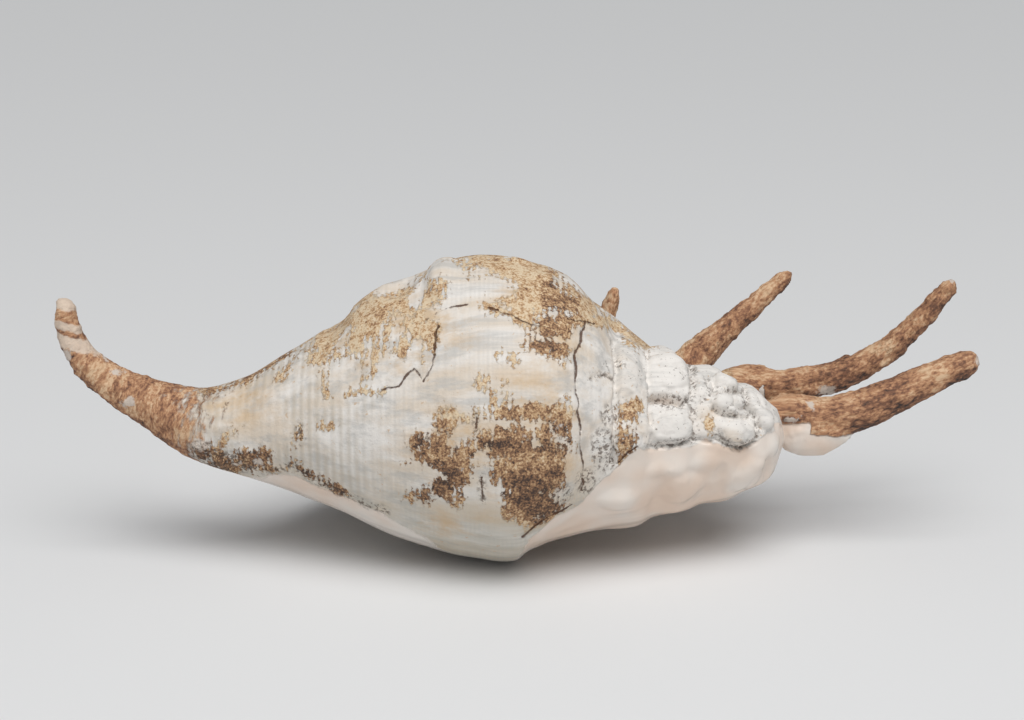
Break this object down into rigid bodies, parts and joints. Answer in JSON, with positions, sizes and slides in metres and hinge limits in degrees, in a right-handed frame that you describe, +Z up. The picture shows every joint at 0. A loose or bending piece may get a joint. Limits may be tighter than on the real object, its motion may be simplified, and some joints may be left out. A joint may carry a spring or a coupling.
{
  "type": "spider conch shell",
  "caption": "Weathered spider conch shell with a hooked siphonal canal, humped body whorl, knobbed spire and a flared lip that grows into long curved fingers.",
  "frame": {"origin": "middle of the bounding box, on the surface that the shell rests on", "axes": "+X from the tip of the siphonal canal to the tips of the rear fingers, +Y from the bare flank to the lip and its fingers, +Z up with the aperture facing down"},
  "size_m": [0.2926, 0.1606, 0.0968],
  "materials": {
    "shell": "chalky lime shell with brown skin patches, crusted fingers and a glossy glaze round the aperture"
  },
  "bodies": {
    "root": {"shell": "shell"}
  },
  "joints": []
}
